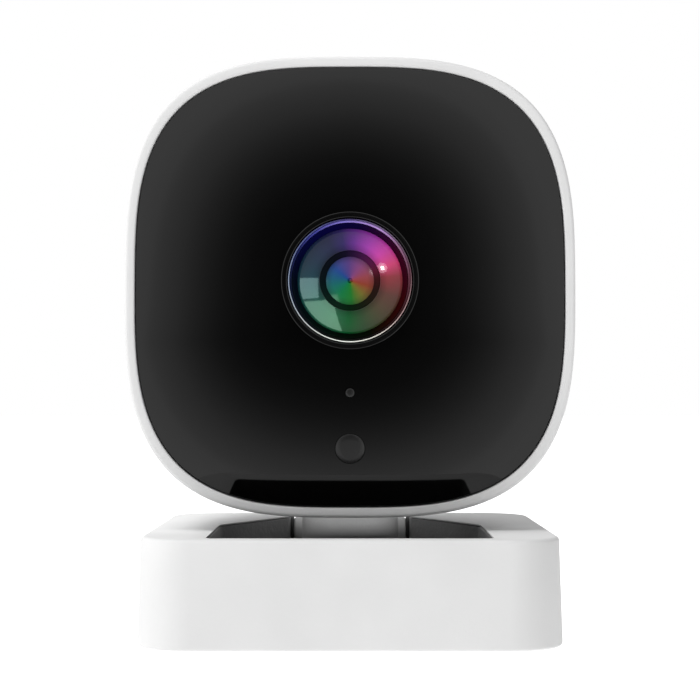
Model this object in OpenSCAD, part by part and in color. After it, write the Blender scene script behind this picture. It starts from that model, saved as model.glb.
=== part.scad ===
// Compact indoor security camera: a rounded-square head on a swivelling, folding neck, in a
// square base. Millimetres, +Z up, the face looks along -Y, origin at the middle of the foot.

/* [Base] */
// Width of the base at its foot
base_w = 52; // [48:0.1:66]
// Depth of the base
base_d = 48; // [45:0.1:60]
// Height of the base above the surface it stands on
base_h = 13.8; // [13:0.01:18]
// Corner radius of the base in plan
base_corner_r = 7; // [5:0.1:10]
// Wall of the base housing
base_wall = 1.8; // [1.4:0.01:2.4]
// Half width of the wide front part of the recess
recess_half_w = 17.3; // [14:0.1:18]
// Half width of the narrow rear slot of the recess
slot_half_w = 8.6; // [7.8:0.1:10]

/* [Neck] */
// Radius of the swivel post
post_r = 6.45; // [5.3:0.01:7]
// Distance of the swivel axis behind the middle of the base
post_y = 3; // [1:0.1:5]
// Radius of the fold hinge pin
pin_r = 1.25; // [1:0.05:1.6]
// Radial clearance of a turning fit
run_gap = 0.05; // [0.03:0.01:0.1]

/* [Head] */
// Width of the head
head_w = 57.4; // [55:0.01:70]
// Height of the head
head_h = 58.8; // [56:0.01:72]
// Depth of the head from its front rim to its back
head_d = 34; // [33:0.1:42]
// Gap between the head and the base
head_gap = 1.7; // [1.5:0.1:3]
// Width of the white rim round the front panel
rim_w = 1.3; // [1:0.1:1.5]
// Bulge of the front panel in front of the rim
panel_bulge = 3.9; // [2:0.1:4.4]
// Roundness of the head's outline, where 2 is an ellipse
outline_power = 3.15; // [2.6:0.05:4]

/* [Lens] */
// Outer radius of the lens trim ring
lens_ring_r = 8.6; // [8.3:0.1:9.5]
// Radius of the front glass
lens_r = 7.6; // [6:0.01:7.8]
// Height of the lens axis above the middle of the head
lens_up = 0.4; // [0:0.1:3]

/* [Hidden] */
$fn = 48;
outline_n = 72;                 // points round a head outline
body_slices = 5;                // slices along a head body, after the first
thin = 0.01;                    // thickness of a slice inside a hull
fit = 0.1;                      // gap round a fixed piece in its seat
hole_gap = 0.05;                // gap round a piece pressed into a hole
edge = 0.2;                     // how far a cut runs past the face it opens
far = 100;                      // longer than the whole camera

// Base
foot_z = 0.6;                   // the foot pad stands this far proud of the housing
foot_in_r = 11;
foot_out_r = min(base_w, base_d)/2 - 8;
base_draft = 0.4;               // the base narrows by this much a side towards its top
base_edge = 0.8;                // edge rounding of the base
cover_t = 1.4;
cover_top = foot_z + cover_t;
liner_wall = 1;
liner_floor = 6;                // height of the recess floor
liner_bottom = liner_floor - liner_wall;
liner_top = base_h - edge;
liner_back_gap = 1;
lip_w = 1.8;                    // white lip in front of the recess
recess_front = -base_d/2 + lip_w + liner_wall;
taper_start = 0;                // the recess narrows from here
taper_end = base_d/2 - 8;       // to here
inner_w = base_w/2 - base_wall - base_draft;

screw_x = base_w/2 - 5.6;
screw_y = base_d/2 - 6;
screw_r = 1;
screw_len = 5;
screw_head_r = 1.9;
screw_head_t = 0.9;
screw_post_r = 2.6;
bush_r = 5;
bush_bore_r = 3.175;
bush_flange_w = 1.2;
bush_flange_t = 0.8;
bush_top = liner_bottom - edge;
magnet_r = 14;
magnet_t = 2.2;
ballast_len = base_d/2;
ballast_h = 6.4;
ballast_gap = 0.4;

// Fold hinge
arm_gap = 0.3;                  // the folded arm clears the recess floor by this
arm_bottom = liner_floor + arm_gap;
arm_t = 3.6;
arm_top = arm_bottom + arm_t;
knuckle_r = pin_r + 1.35;
hinge_y = base_d/2 - 3.5;
knuckle_drop = 0.4;             // the knuckle's top is this far under the base's top
hinge_z = base_h - knuckle_drop - knuckle_r;
washer_t = 0.4;
washer_gap = 0.05;
knuckle_half_w = slot_half_w - washer_t - 2*washer_gap;
ear_w = 4.2;                    // hinge ear beside the liner
ear_d = 8;
pin_half_len = slot_half_w + liner_wall + ear_w - 1.2;

// Head
head_bottom = base_h + head_gap;
head_z = head_bottom + head_h/2;
face_y = post_y - 14;           // front edge of the rim
head_back = face_y + head_d;
cover_y = head_back - 4;        // joint between shell and rear cover
cover_lip = 1.5;
lip_wall = 1;
back_wall = 1.8;
back_round = 2;                 // rounding of the back's edge, and a point part of the way round
mid_round = 0.7;
mid_round_in = 0.5;
back_in = head_back - back_wall;
back_share = 0.72;              // size of the back against the front
back_power = 2.6;
shell_wall = 2;
seat_gap = 0.1;
panel_hw = head_w/2 - rim_w - seat_gap;
panel_hh = head_h/2 - rim_w - seat_gap;
panel_t = 1.6;                  // depth of the panel's straight edge
panel_back = face_y + panel_t;
panel_power = 3;
DOME_SHARES = [0.995, 0.94, 0.86, 0.76, 0.62, 0.46];    // sizes of the slices of its bulge

// Swivel
post_hole_gap = 0.2;
collar_w = 2.2;                 // collar of the shell round the post
collar_h = 3.4;
shoulder_rise = 0.0765;         // height of the post's shoulder, as a share of the head's
shoulder_z = head_bottom + shoulder_rise*head_h;
spigot_r = post_r - 2.45;
friction_t = 0.2;
bracket_z = shoulder_z + friction_t + fit;
bracket_t = 2;
bracket_w = 21;
bracket_d = 12;
tab_t = 1.5;
tab_h = 8;
tab_screw_x = 8;
tab_screw_z = bracket_z + 5.5;
spring_t = 0.6;
cap_t = 1.4;
cap_w = 1.6;                    // the washers reach this far past the spigot
spring_z = bracket_z + bracket_t + fit;
cap_z = spring_z + spring_t;
spigot_top = cap_z + cap_t;
post_screw_r = 1.25;
post_screw_head_r = 2.2;
post_screw_head_t = 1.2;
post_screw_len = 8;

// Frame and boards
frame_y = face_y + 4.6;
frame_t = 1.4;
frame_collar_w = 1.2;           // collar of the frame round the lens
frame_back = frame_y + frame_t;
board_t = 1;
led_board_y = frame_y - board_t;
led_board_hw = 22;
led_board_hh = 22.5;
led_ring_r = 15;
led_size = 2.8;
led_t = 1.4;
sensor_board_y = face_y + 13;
main_board_y = face_y + 22;
main_back = main_board_y + board_t;
board_w = 38;
board_h = 36;
boss_x = board_w/2 - 3;
boss_z = board_h/2 - 2.5;
boss_r = 2.2;
boss_bore = 4;
board_screw_len = 3;
small_screw_r = 0.9;
small_head_r = 1.7;
small_head_t = 1.1;
chip_t = 1;
chip_w = 12;
small_chip_w = 6;
small_chip_h = 5;
small_chip_x = -8;
small_chip_z = head_z - 11;
sink_w = 26;
sink_h = 20;
sink_t = 1;
sink_fin = 2.2;                 // height of the fins
sink_slot_w = 2;
sink_slot_step = 4;
sink_z = head_z + 3;
can_x = 14;
can_w = 9;
can_h = 12;
can_t = 1.6;
antenna_w = 22;
antenna_d = 10;
antenna_t = 0.4;
antenna_z = head_z + 0.42*head_h;
sensor_chip_side = 2.4;
sensor_chip_t = 1;
ribbon_drop = 9.1;
ribbon_w = 8;
ribbon_t = 0.3;
socket_t = 1.2;
socket_w = ribbon_w + 1;
socket_h = 1;
ribbon_y = sensor_board_y + board_t + socket_t;

// Ports and controls at the back
port_z = head_z - 15.5;
port_w = 9;
port_h = 3.2;
port_wall = 0.4;
port_deep = 7;
port_set_back = 0.9;            // the socket sits this far inside the rear cover
card_x = -13;
card_z = head_z + 1;
card_w = 3;
card_h = 14;
card_slot_w = 1.2;
card_slot_h = 11.4;
card_floor = 1;
card_reach = back_in - fit - main_back;
speaker_z = head_z + 7;
speaker_r = 8;
speaker_t = 4.2;
magnet_hub_r = 4.5;
gasket_t = 1;
gasket_w = 1.2;
gasket_y = back_in - gasket_t;
speaker_y = gasket_y - speaker_t;
sound_hole_r = 0.7;
sound_pitch = 2.6;
mic_x = 11.5;
mic_z = speaker_z + 8;
mic_r = 1.8;
mic_t = 1.2;
button_x = 9.5;
button_z = head_z - 14;
button_r = 2;
button_gap = 0.15;
button_travel = 0.8;
button_proud = 0.4;
button_flange_r = 2.6;
button_flange_t = 0.8;
stem_r = 1;
switch_len = 3.6;
switch_r = 1.6;
stem_y = main_back + switch_len + button_travel + fit;

// Optics
lens_z = head_z + lens_up;
lens_front = face_y - panel_bulge;
ring_proud = 0.3;
lens_seat = lens_front + 1.2;   // edge of the front glass
dome_edge_r = lens_r - 0.95;
dome_rise = 1.5;
dome_r = (pow(dome_edge_r, 2) + pow(dome_rise, 2))/(2*dome_rise);
glass_edge_t = 1;
stack_y = lens_seat + glass_edge_t;
element_r = lens_r - 1.3;
iris_t = 1;
iris_r = 3;
middle_t = 1.6;
rear_lens_y = stack_y + 5;
rear_lens_t = 2;
barrel_r = lens_r - 2.2;
rear_lens_r = 0.7*barrel_r;
barrel_head_len = 5;
barrel_len = 10;
holder_side = 14;
holder_grip = 2.2;
holder_y = stack_y + barrel_len - holder_grip;
holder_bore_r = barrel_r - 0.6;
sensor_board_w = 22;
sensor_board_h = 20;
filter_side = 1.33*holder_bore_r;
filter_t = 0.5;
sensor_t = 1;
status_z = head_z - 13.6;
pipe_r = 0.55;
window_z = head_z - 20.6;
window_r = 1.85;
window_t = 1.6;

// ---- shared shapes -------------------------------------------------------------------------
// Radius of the outline at an angle, and its points
function reach(a, hw, hh) = 1/pow(pow(abs(cos(a)/hw), outline_power)
    + pow(abs(sin(a)/hh), outline_power), 1/outline_power);
function outline(hw, hh) = [for (i = [0:outline_n - 1]) let (a = 360*i/outline_n)
    reach(a, hw, hh)*[cos(a), sin(a)]];
// Size of the head at a depth, as a share of its size at the rim
function share_at(y) = 1 - (1 - back_share)*pow(max(0, (y - face_y)/head_d), back_power);
// Bulge of the panel at a share of its outline, from 0 in the middle to 1 at its edge
function bulge_at(s) = panel_bulge*(1 - pow(s, panel_power));
function panel_y(z) = face_y - bulge_at(abs(z - head_z)/panel_hh);

// A plate in the XZ plane from y to y + t
module upright(y, t) translate([0, y + t, 0]) rotate([90, 0, 0]) linear_extrude(t) children();
module rect_upright(x, y, z, w, t, h) translate([x, 0, z]) upright(y, t)
    square([w, h], center = true);
module outline_plate(y, t, hw, hh) upright(y, t) translate([0, head_z]) polygon(outline(hw, hh));
// A head-shaped plate, set in from the outer surface
module head_plate(y, t, share, inset)
    outline_plate(y, t, head_w/2*share - inset, head_h/2*share - inset);
// The head's outer body, or its cavity, between two depths
module head_body(from_y, to_y, inset) hull() for (i = [0:body_slices])
    let (y = from_y + (to_y - from_y - thin)*i/body_slices) head_plate(y, thin, share_at(y), inset);
// A round bar along Y, and one on the lens axis
module bar_y(r, y, len) translate([0, y, 0]) rotate([-90, 0, 0]) cylinder(r = r, h = len);
module lens_bar(r, y, len) translate([0, 0, lens_z]) bar_y(r, y, len);
module at(x, z) translate([x, 0, z]) children();
module board_corners() for (x = [-1, 1], z = [-1, 1]) at(x*boss_x, head_z + z*boss_z) children();
// A bar along X on the fold hinge's axis
module hinge_bar(r, half_len) translate([-half_len, hinge_y, hinge_z]) rotate([0, 90, 0])
    cylinder(r = r, h = 2*half_len);
module ring(r_out, r_in, z, h) translate([0, 0, z]) difference() {
    cylinder(r = r_out, h = h);
    translate([0, 0, -edge]) cylinder(r = r_in, h = h + 2*edge);
}
// Four discs at the base's corners, for a hull
module base_slice(z, inset) for (x = [-1, 1], y = [-1, 1])
    translate([x*(base_w/2 - base_corner_r), y*(base_d/2 - base_corner_r), z])
        cylinder(r = base_corner_r - inset, h = thin, $fn = 32);
// The base's outline in plan, set in
module base_outline(inset) {
    square([base_w - 2*inset, base_d - 2*base_corner_r], center = true);
    square([base_w - 2*base_corner_r, base_d - 2*inset], center = true);
    for (x = [-1, 1], y = [-1, 1])
        translate([x*(base_w/2 - base_corner_r), y*(base_d/2 - base_corner_r)])
            circle(base_corner_r - inset);
}
module recess_plan(grow) polygon([
    [-recess_half_w - grow, recess_front - grow], [recess_half_w + grow, recess_front - grow],
    [recess_half_w + grow, taper_start], [slot_half_w + grow, taper_end],
    [slot_half_w + grow, base_d/2 + edge], [-slot_half_w - grow, base_d/2 + edge],
    [-slot_half_w - grow, taper_end], [-recess_half_w - grow, taper_start]]);
module base_screw_places() for (x = [-1, 1], y = [-1, 1]) translate([x*screw_x, y*screw_y, 0])
    children();

// ---- base ----------------------------------------------------------------------------------
module base_cavity() difference() {
    hull() {
        base_slice(foot_z - edge, base_wall);
        base_slice(base_h - base_wall, base_wall + base_draft);
    }
    base_screw_places() cylinder(r = screw_post_r, h = base_h);
    for (x = [-1, 1]) translate([x*(slot_half_w + liner_wall + ear_w/2) - ear_w/2,
        hinge_y - ear_d/2, liner_bottom]) cube([ear_w, ear_d, base_h]);
}
module base_housing() color("white") difference() {
    hull() {
        base_slice(foot_z, base_edge);
        base_slice(foot_z + base_edge, 0);
        base_slice(base_h - base_edge, base_draft);
        base_slice(base_h - thin, base_draft + base_edge);
    }
    base_cavity();
    translate([0, 0, liner_bottom]) linear_extrude(base_h) recess_plan(liner_wall);
    base_screw_places() cylinder(r = screw_r, h = foot_z + screw_head_t + screw_len + fit);
    base_screw_places() cylinder(r = screw_post_r + fit, h = cover_top);
    hinge_bar(pin_r, pin_half_len);
}
module recess_liner() color("dimgray") difference() {
    intersection() {
        translate([0, 0, liner_bottom]) linear_extrude(liner_top - liner_bottom)
            recess_plan(liner_wall);
        translate([-base_w/2, -base_d/2, 0]) cube([base_w, base_d - liner_back_gap, base_h]);
    }
    translate([0, 0, liner_floor]) linear_extrude(base_h) recess_plan(0);
    hinge_bar(pin_r, far);
}
module bottom_cover() color("gainsboro") difference() {
    translate([0, 0, foot_z]) linear_extrude(cover_t) base_outline(base_wall + fit);
    base_screw_places() cylinder(r = screw_r + fit, h = base_h);
    base_screw_places() cylinder(r = screw_head_r + fit, h = foot_z + screw_head_t);
    cylinder(r = bush_r + hole_gap, h = base_h);
}
module foot_pad() color("darkgray") ring(foot_out_r, foot_in_r, 0, foot_z);
module tripod_bush() color("goldenrod") difference() {
    union() {
        translate([0, 0, foot_z]) cylinder(r = bush_r, h = bush_top - foot_z);
        translate([0, 0, cover_top]) cylinder(r = bush_r + bush_flange_w, h = bush_flange_t);
    }
    cylinder(r = bush_bore_r, h = base_h);
}
module base_magnet() color("silver")
    ring(magnet_r, bush_r + bush_flange_w + fit, cover_top + fit, magnet_t);
module ballast_bars() color("slategray") for (x = [-1, 1]) {
    from = recess_half_w + liner_wall + ballast_gap;
    width = inner_w - ballast_gap - from;
    translate([x*(from + width/2) - width/2, -ballast_len/2, cover_top + fit])
        cube([width, ballast_len, ballast_h]);
}
module base_screws() color("dimgray") base_screw_places() union() {
    translate([0, 0, foot_z]) cylinder(r = screw_head_r, h = screw_head_t);
    translate([0, 0, foot_z]) cylinder(r = screw_r, h = screw_head_t + screw_len);
}
module hinge_pin() color("silver") hinge_bar(pin_r, pin_half_len);
module hinge_washers() color("ivory") difference() {
    hinge_bar(knuckle_r, slot_half_w - washer_gap);
    hinge_bar(knuckle_r + edge, knuckle_half_w + washer_gap);
    hinge_bar(pin_r, far);
}

// ---- neck ----------------------------------------------------------------------------------
module neck_arm() color("gray") difference() {
    union() {
        hinge_bar(knuckle_r, knuckle_half_w);
        translate([-knuckle_half_w, hinge_y - knuckle_r, arm_bottom])
            cube([2*knuckle_half_w, knuckle_r, hinge_z - arm_bottom]);
        translate([-post_r, post_y, arm_bottom]) cube([2*post_r, hinge_y - post_y, arm_t]);
        translate([0, post_y, arm_bottom]) cylinder(r = post_r, h = arm_t);
    }
    hinge_bar(pin_r + run_gap, far);
    translate([0, post_y, 0]) cylinder(r = post_screw_head_r + fit,
        h = arm_bottom + post_screw_head_t);
    translate([0, post_y, 0]) cylinder(r = post_screw_r + fit, h = far);
}
module swivel_post() color("gray") difference() {
    translate([0, post_y, arm_top]) union() {
        cylinder(r = post_r, h = shoulder_z - arm_top);
        cylinder(r = spigot_r, h = spigot_top - arm_top);
    }
    translate([0, post_y, 0]) cylinder(r = post_screw_r, h = arm_bottom + post_screw_len + fit);
}
module post_screw() color("silver") translate([0, post_y, arm_bottom]) union() {
    cylinder(r = post_screw_head_r, h = post_screw_head_t);
    cylinder(r = post_screw_r, h = post_screw_len);
}
module on_spigot(r_out, z, h) translate([0, post_y, 0]) ring(r_out, spigot_r, z, h);
module post_friction_washer() color("ivory") on_spigot(post_r - edge, shoulder_z, friction_t);
module spring_washer() color("silver") on_spigot(spigot_r + cap_w, spring_z, spring_t);
module retaining_cap() color("dimgray") on_spigot(spigot_r + cap_w, cap_z, cap_t);

// ---- head ----------------------------------------------------------------------------------
module head_shell() color("white") difference() {
    union() {
        difference() {
            head_body(face_y, cover_y, 0);
            head_body(panel_back, cover_y + edge, shell_wall);
        }
        intersection() {
            head_body(face_y, cover_y, shell_wall/2);
            translate([0, post_y, 0]) cylinder(r = post_r + collar_w, h = head_bottom + collar_h);
        }
    }
    outline_plate(face_y - edge, panel_t + edge, panel_hw + seat_gap, panel_hh + seat_gap);
    translate([0, post_y, 0]) cylinder(r = post_r + post_hole_gap, h = shoulder_z);
}
module rear_cover() color("white") difference() {
    union() {
        hull() {
            head_plate(cover_y, thin, share_at(cover_y), 0);
            head_plate(head_back - back_round, thin, share_at(head_back - back_round), 0);
            head_plate(head_back - mid_round, thin, share_at(head_back), mid_round_in);
            head_plate(head_back - thin, thin, share_at(head_back), back_round);
        }
        head_plate(cover_y - cover_lip, cover_lip + thin, share_at(cover_y), shell_wall + fit);
    }
    head_body(cover_y - cover_lip - edge, back_in, shell_wall + fit + lip_wall);
    rect_upright(0, cover_y, port_z, port_w + 2*fit, far, port_h + 2*fit);
    rect_upright(card_x, cover_y, card_z, card_slot_w, far, card_slot_h);
    at(button_x, button_z) bar_y(button_r + button_gap, cover_y, far);
    for (row = [-2:2], col = [-2:2]) if (abs(row) + abs(col) < 4)
        at(col*sound_pitch, speaker_z + row*sound_pitch) bar_y(sound_hole_r, cover_y, far);
    at(mic_x, mic_z) bar_y(sound_hole_r, cover_y, far);
}
module panel_dome(y, inset) hull() for (s = DOME_SHARES)
    outline_plate(y - bulge_at(s), edge, (panel_hw - inset)*s, (panel_hh - inset)*s);
module front_panel() color("black") difference() {
    union() {
        outline_plate(face_y, panel_t, panel_hw, panel_hh);
        panel_dome(face_y, 0);
    }
    panel_dome(panel_back, panel_t);
    lens_bar(lens_ring_r + hole_gap, -far, 2*far);
    at(0, status_z) bar_y(pipe_r + hole_gap, -far, 2*far);
    at(0, window_z) bar_y(window_r + hole_gap, -far, 2*far);
}

// ---- optics --------------------------------------------------------------------------------
module lens_trim_ring() color("dimgray") difference() {
    lens_bar(lens_ring_r, lens_front - ring_proud, frame_y - lens_front + ring_proud);
    lens_bar(lens_r + hole_gap, -far, 2*far);
}
function dome_point(a) = [dome_r*sin(a), dome_rise - dome_r*(1 - cos(a))];
module front_lens() color("navy") translate([0, lens_seat, lens_z]) rotate([90, 0, 0])
    rotate_extrude() polygon(concat([[0, -glass_edge_t], [lens_r, -glass_edge_t], [lens_r, 0]],
        [for (i = [12:-1:0]) dome_point(asin(dome_edge_r/dome_r)*i/12)]));
module lens_barrel() color("black") difference() {
    union() {
        lens_bar(lens_r, stack_y, barrel_head_len);
        lens_bar(barrel_r, stack_y, barrel_len);
    }
    lens_bar(element_r, stack_y - edge, edge + iris_t + middle_t);
    lens_bar(rear_lens_r, stack_y, far);
}
module iris_ring() color("black") difference() {
    lens_bar(element_r, stack_y, iris_t);
    lens_bar(iris_r, stack_y - edge, far);
}
module middle_lens() color("teal") lens_bar(element_r, stack_y + iris_t, middle_t);
module rear_lens() color("teal") lens_bar(rear_lens_r, rear_lens_y, rear_lens_t);
module lens_holder() color("black") difference() {
    rect_upright(0, holder_y, lens_z, holder_side, sensor_board_y - holder_y, holder_side);
    lens_bar(barrel_r, holder_y - edge, holder_grip + edge);
    lens_bar(holder_bore_r, holder_y, far);
}
module image_sensor() color("dimgray")
    rect_upright(0, sensor_board_y - sensor_t, lens_z, filter_side, sensor_t, filter_side);
module ir_cut_filter() color("lightblue") rect_upright(0, sensor_board_y - sensor_t - filter_t,
    lens_z, filter_side, filter_t, filter_side);
module sensor_board() color("darkgreen")
    rect_upright(0, sensor_board_y, lens_z, sensor_board_w, board_t, sensor_board_h);

// ---- head internals ------------------------------------------------------------------------
module inner_frame() color("dimgray") difference() {
    union() {
        head_plate(frame_y, frame_t, share_at(frame_back), shell_wall + fit);
        board_corners() bar_y(boss_r, frame_y, main_board_y - frame_y);
        lens_bar(lens_r + frame_collar_w, frame_y, holder_y - fit - frame_y);
    }
    lens_bar(lens_r + hole_gap, -far, 2*far);
    translate([0, post_y, 0]) cylinder(r = post_r + collar_w + fit,
        h = head_bottom + collar_h + fit);
    board_corners() bar_y(small_screw_r, main_board_y - boss_bore, far);
    for (x = [-1, 1]) at(x*tab_screw_x, tab_screw_z) bar_y(small_screw_r, frame_y, far);
}
module swivel_bracket() color("silver") difference() {
    union() {
        translate([-bracket_w/2, frame_back, bracket_z])
            cube([bracket_w, post_y + bracket_d/2 - frame_back, bracket_t]);
        translate([-bracket_w/2, frame_back, bracket_z]) cube([bracket_w, tab_t, tab_h]);
    }
    translate([0, post_y, 0]) cylinder(r = spigot_r + run_gap, h = far);
    for (x = [-1, 1]) at(x*tab_screw_x, tab_screw_z) bar_y(small_screw_r, frame_y, far);
}
module bracket_screws() color("silver") for (x = [-1, 1]) at(x*tab_screw_x, tab_screw_z) union() {
    bar_y(small_screw_r, frame_y, frame_t + tab_t + small_head_t);
    bar_y(small_head_r, frame_back + tab_t, small_head_t);
}
module led_board() color("darkgreen") difference() {
    outline_plate(led_board_y, board_t, led_board_hw, led_board_hh);
    lens_bar(lens_ring_r + fit, -far, 2*far);
}
module infrared_leds() color("black") for (a = [0:60:300])
    rect_upright(led_ring_r*cos(a), led_board_y - led_t, lens_z + led_ring_r*sin(a),
        led_size, led_t, led_size);
module status_light_pipe() color("white") at(0, status_z)
    bar_y(pipe_r, panel_y(status_z), led_board_y - panel_y(status_z));
module light_sensor_window() color("dimgray") at(0, window_z)
    bar_y(window_r, panel_y(window_z), window_t);
module light_sensor() color("ivory") rect_upright(0, led_board_y - sensor_chip_t, window_z,
    sensor_chip_side, sensor_chip_t, sensor_chip_side);
module ribbon_sockets() color("ivory") {
    rect_upright(0, sensor_board_y + board_t, lens_z - ribbon_drop, socket_w, socket_t, socket_h);
    rect_upright(0, main_board_y - socket_t, lens_z - ribbon_drop, socket_w, socket_t, socket_h);
}
module sensor_ribbon() color("goldenrod") rect_upright(0, ribbon_y, lens_z - ribbon_drop,
    ribbon_w, main_board_y - socket_t - ribbon_y, ribbon_t);
module heat_sink() color("silver") difference() {
    rect_upright(0, main_board_y - chip_t - sink_t - sink_fin, sink_z, sink_w, sink_t + sink_fin,
        sink_h);
    for (i = [-2.5:2.5])
        rect_upright(i*sink_slot_step, -far, sink_z, sink_slot_w,
            far + main_board_y - chip_t - sink_t, 2*sink_h);
}
module main_board() color("darkgreen") difference() {
    rect_upright(0, main_board_y, head_z, board_w, board_t, board_h);
    board_corners() bar_y(small_screw_r, 0, far);
}
module main_chips() color("black") {
    rect_upright(0, main_board_y - chip_t, sink_z, chip_w, chip_t, chip_w);
    rect_upright(small_chip_x, main_board_y - chip_t, small_chip_z, small_chip_w, chip_t,
        small_chip_h);
}
module shield_can() color("silver") rect_upright(can_x, main_back, sink_z, can_w, can_t, can_h);
module board_screws() color("silver") board_corners() union() {
    bar_y(small_screw_r, main_board_y - board_screw_len, board_screw_len + board_t + small_head_t);
    bar_y(small_head_r, main_back, small_head_t);
}
module usb_socket() color("silver") difference() {
    rect_upright(0, main_back, port_z, port_w, head_back - port_set_back - main_back, port_h);
    rect_upright(0, head_back - port_deep, port_z, port_w - 2*port_wall, far, port_h - 2*port_wall);
}
module card_socket() color("silver") difference() {
    rect_upright(card_x, main_back, card_z, card_w, card_reach, card_h);
    rect_upright(card_x, main_back + card_floor, card_z, card_slot_w, far, card_slot_h);
}
module speaker() color("dimgray") at(0, speaker_z) union() {
    bar_y(speaker_r, speaker_y, speaker_t);
    bar_y(magnet_hub_r, main_back + fit, speaker_y - main_back);
}
module speaker_gasket() color("black") at(0, speaker_z) difference() {
    bar_y(speaker_r, gasket_y, gasket_t);
    bar_y(speaker_r - gasket_w, gasket_y - edge, far);
}
module microphone() color("silver") at(mic_x, mic_z) bar_y(mic_r, main_back, mic_t);
module microphone_boot() color("black") at(mic_x, mic_z) difference() {
    bar_y(mic_r, main_back + mic_t, back_in - main_back - mic_t);
    bar_y(sound_hole_r, main_back + mic_t - edge, far);
}
module antenna() color("orange") translate([-antenna_w/2, frame_back, antenna_z])
    cube([antenna_w, antenna_d, antenna_t]);
module button_switch() color("black") at(button_x, button_z) bar_y(switch_r, main_back, switch_len);
module setup_button() color("white") at(button_x, button_z) union() {
    bar_y(stem_r, stem_y, back_in - stem_y);
    bar_y(button_flange_r, back_in - fit - button_flange_t, button_flange_t);
    bar_y(button_r, back_in - fit, fit + back_wall + button_proud);
}

base_housing();
recess_liner();
bottom_cover();
foot_pad();
base_magnet();
ballast_bars();
tripod_bush();
base_screws();
hinge_pin();
hinge_washers();
neck_arm();
swivel_post();
post_screw();
post_friction_washer();
spring_washer();
retaining_cap();
head_shell();
rear_cover();
front_panel();
lens_trim_ring();
lens_barrel();
front_lens();
iris_ring();
middle_lens();
rear_lens();
lens_holder();
ir_cut_filter();
image_sensor();
sensor_board();
inner_frame();
swivel_bracket();
bracket_screws();
led_board();
infrared_leds();
status_light_pipe();
light_sensor_window();
light_sensor();
ribbon_sockets();
sensor_ribbon();
heat_sink();
main_board();
main_chips();
shield_can();
board_screws();
usb_socket();
card_socket();
speaker();
speaker_gasket();
microphone();
microphone_boot();
antenna();
button_switch();
setup_button();
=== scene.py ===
import math

import bmesh
import bpy
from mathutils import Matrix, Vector


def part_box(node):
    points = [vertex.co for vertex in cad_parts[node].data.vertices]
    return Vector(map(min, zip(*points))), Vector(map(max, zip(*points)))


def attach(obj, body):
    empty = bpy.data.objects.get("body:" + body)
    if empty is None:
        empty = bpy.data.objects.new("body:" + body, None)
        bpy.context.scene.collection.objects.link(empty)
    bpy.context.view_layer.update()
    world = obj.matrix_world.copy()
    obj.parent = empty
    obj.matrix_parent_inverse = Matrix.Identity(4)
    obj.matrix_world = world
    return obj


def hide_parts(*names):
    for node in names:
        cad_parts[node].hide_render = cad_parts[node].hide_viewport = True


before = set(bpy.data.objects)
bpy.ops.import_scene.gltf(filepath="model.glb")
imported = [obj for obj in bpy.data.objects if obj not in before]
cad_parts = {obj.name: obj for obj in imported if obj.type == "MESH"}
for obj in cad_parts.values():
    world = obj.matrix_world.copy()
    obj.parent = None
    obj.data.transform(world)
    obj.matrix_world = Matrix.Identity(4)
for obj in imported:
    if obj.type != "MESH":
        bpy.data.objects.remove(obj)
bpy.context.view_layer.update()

MM = 0.001
AROUND = 192                      # points round a head outline
POWER = 3.15                      # roundness of the head's outline
BACK_SHARE = 0.72                 # the head's back against its rim
BACK_POWER = 2.6                  # how late the head tapers
PANEL_POWER = 3.0                 # how flat the middle of the panel's pillow is
SEAM_GAP = 0.12 * MM              # half of the gap between the shell and the rear cover
LENS_AROUND, LENS_SHARP = 160, 40       # points round a lens piece, and its sharp angle in degrees


# ---- places, all from the frame ------------------------------------------------------------
def span(node, axis):
    lo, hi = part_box(node)
    return lo[axis], hi[axis]


def middle(node):
    lo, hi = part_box(node)
    return (Vector(lo) + Vector(hi)) / 2


def half_size(node, axis):
    lo, hi = span(node, axis)
    return (hi - lo) / 2


HEAD = middle("head_shell")
HEAD_HW, HEAD_HH = half_size("head_shell", 0), half_size("head_shell", 2)
RIM_Y, SEAM_Y = span("head_shell", 1)
BACK_Y = span("rear_cover", 1)[1]
PANEL_HW, PANEL_HH = half_size("front_panel", 0), half_size("front_panel", 2)
PANEL_FRONT, PANEL_BACK = span("front_panel", 1)
BULGE = RIM_Y - PANEL_FRONT
LENS = middle("front_lens")
RING_R = half_size("lens_trim_ring", 0)
POST = middle("swivel_post")
POST_R = half_size("swivel_post", 0)
BASE_LO, BASE_HI = (Vector(c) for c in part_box("base_housing"))
HEAD_BOTTOM = span("head_shell", 2)[0]


# ---- mesh tools ----------------------------------------------------------------------------
def new_object(name, verts, faces, sharp=30):
    mesh = bpy.data.meshes.new(name)
    mesh.from_pydata([tuple(v) for v in verts], [], faces)
    obj = bpy.data.objects.new(name, mesh)
    bpy.context.scene.collection.objects.link(obj)
    tidy(obj, sharp)
    return obj


def tidy(obj, sharp=30):
    """Welds the mesh, turns its faces outwards and shades it smooth between sharp edges."""
    bm = bmesh.new()
    bm.from_mesh(obj.data)
    bmesh.ops.remove_doubles(bm, verts=bm.verts, dist=1e-7)
    bmesh.ops.recalc_face_normals(bm, faces=bm.faces)
    bm.to_mesh(obj.data)
    bm.free()
    for polygon in obj.data.polygons:
        polygon.use_smooth = True
    obj.data.set_sharp_from_angle(angle=math.radians(sharp))


def apply_modifiers(obj, sharp=30):
    bpy.context.view_layer.update()
    depsgraph = bpy.context.evaluated_depsgraph_get()
    mesh = bpy.data.meshes.new_from_object(obj.evaluated_get(depsgraph))
    obj.modifiers.clear()
    old, obj.data = obj.data, mesh
    bpy.data.meshes.remove(old)
    tidy(obj, sharp)


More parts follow.
